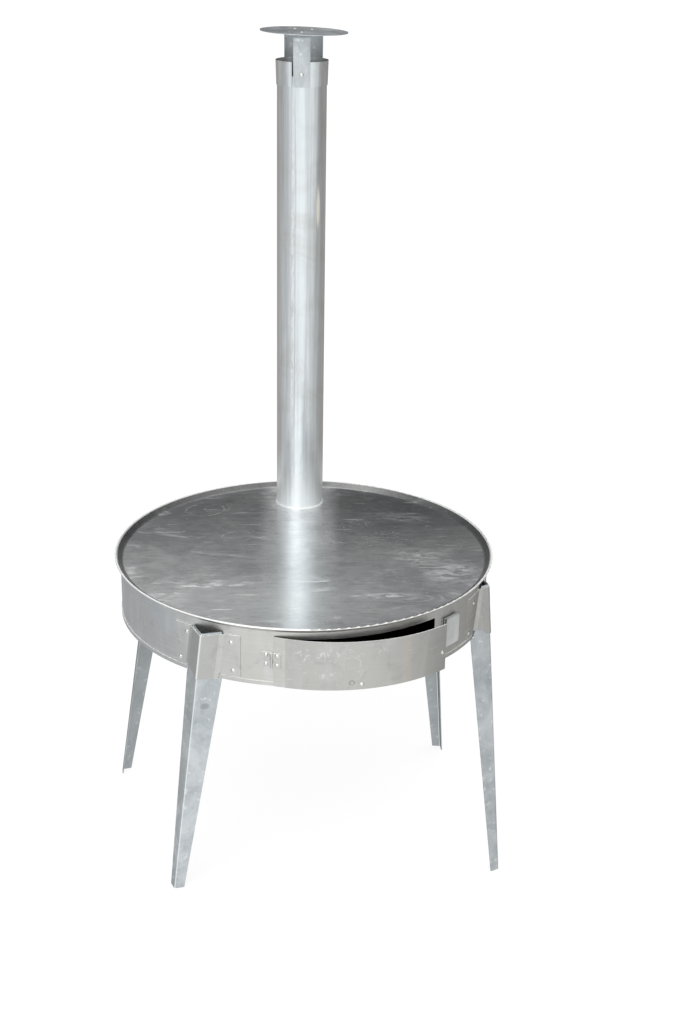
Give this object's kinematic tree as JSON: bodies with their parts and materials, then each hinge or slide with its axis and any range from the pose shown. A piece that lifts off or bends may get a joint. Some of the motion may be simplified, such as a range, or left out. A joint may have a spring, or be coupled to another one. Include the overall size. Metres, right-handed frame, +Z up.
{
  "type": "wood-fired griddle stove",
  "caption": "Portable round wood-fired griddle stove: shallow sheet-steel drum with a flat griddle top, curved fire door, folded plug-in legs and a tall flue pipe with a rain cap.",
  "frame": {"origin": "on the floor, under the middle of the drum", "axes": "+Z up; the flue stands at the back, +Y; the fire door faces the front, -Y, a little to the right; +X to the right"},
  "size_m": [0.6346, 0.6036, 1.2499],
  "materials": {
    "griddle_steel": "satin, heat-darkened and finely scratched from scouring",
    "drum_steel": "satin cold-rolled sheet with rolling marks, smudges and light stains",
    "flue_steel": "bright rolled sheet, finely brushed along the pipe",
    "galvanised_sheet": "dull galvanised sheet with faint spangle",
    "rivet_metal": "bright dome-head rivets"
  },
  "bodies": {
    "drum": {"drum_wall": "drum_steel", "drum_floor": "drum_steel", "griddle_plate": "griddle_steel", "flue_spigot": "flue_steel", "hinge_leaf_drum": "drum_steel", "hinge_pin": "drum_steel", "hinge_rivets_drum": "rivet_metal", "latch_rivet": "rivet_metal", "leg_socket_front_left": "drum_steel", "leg_socket_front_right": "drum_steel", "leg_socket_rear_right": "drum_steel", "leg_socket_rear_left": "drum_steel", "socket_rivets_front_left": "rivet_metal", "socket_rivets_front_right": "rivet_metal", "socket_rivets_rear_right": "rivet_metal", "socket_rivets_rear_left": "rivet_metal"},
    "flue": {"flue_pipe": "flue_steel"},
    "cap": {"cap_collar": "flue_steel", "cap_disc": "galvanised_sheet", "cap_strap_front": "galvanised_sheet", "cap_strap_right": "galvanised_sheet", "cap_strap_left": "galvanised_sheet", "cap_strap_rivets": "rivet_metal", "cap_disc_rivets": "rivet_metal"},
    "door": {"door_panel": "drum_steel", "hinge_leaf_door": "drum_steel", "hinge_rivets_door": "rivet_metal", "door_rivets": "rivet_metal"},
    "latch": {"latch_tab": "galvanised_sheet"},
    "leg_front_left": {"leg_front_left": "galvanised_sheet"},
    "leg_front_right": {"leg_front_right": "galvanised_sheet"},
    "leg_rear_right": {"leg_rear_right": "galvanised_sheet"},
    "leg_rear_left": {"leg_rear_left": "galvanised_sheet"}
  },
  "joints": [
    {"name": "door_hinge", "type": "hinge", "parent": "drum", "child": "door", "pos_m": [-0.04393, -0.2905, 0.422], "axis": [0, 0, -1], "range_deg": [-5.1, 115]},
    {"name": "latch_swivel", "type": "hinge", "parent": "drum", "child": "latch", "pos_m": [0.22056, -0.19105, 0.442], "axis": [-0.7559, 0.6547, 0], "range_deg": [0, 90]},
    {"name": "flue_lift", "type": "slide", "parent": "drum", "child": "flue", "axis": [0, 0, 1], "range_m": [0, 0.045]},
    {"name": "cap_lift", "type": "slide", "parent": "flue", "child": "cap", "axis": [0, 0, 1], "range_m": [0, 0.025]},
    {"name": "leg_front_left_pull", "type": "slide", "parent": "drum", "child": "leg_front_left", "axis": [-0.1123, 0.0605, -0.9918], "range_m": [0, 0.082]},
    {"name": "leg_front_right_pull", "type": "slide", "parent": "drum", "child": "leg_front_right", "axis": [0.0624, -0.2025, -0.9773], "range_m": [0, 0.082]},
    {"name": "leg_rear_right_pull", "type": "slide", "parent": "drum", "child": "leg_rear_right", "axis": [0.0654, -0.064, -0.9958], "range_m": [0, 0.082]},
    {"name": "leg_rear_left_pull", "type": "slide", "parent": "drum", "child": "leg_rear_left", "axis": [-0.1312, -0.1434, -0.9809], "range_m": [0, 0.082]}
  ]
}
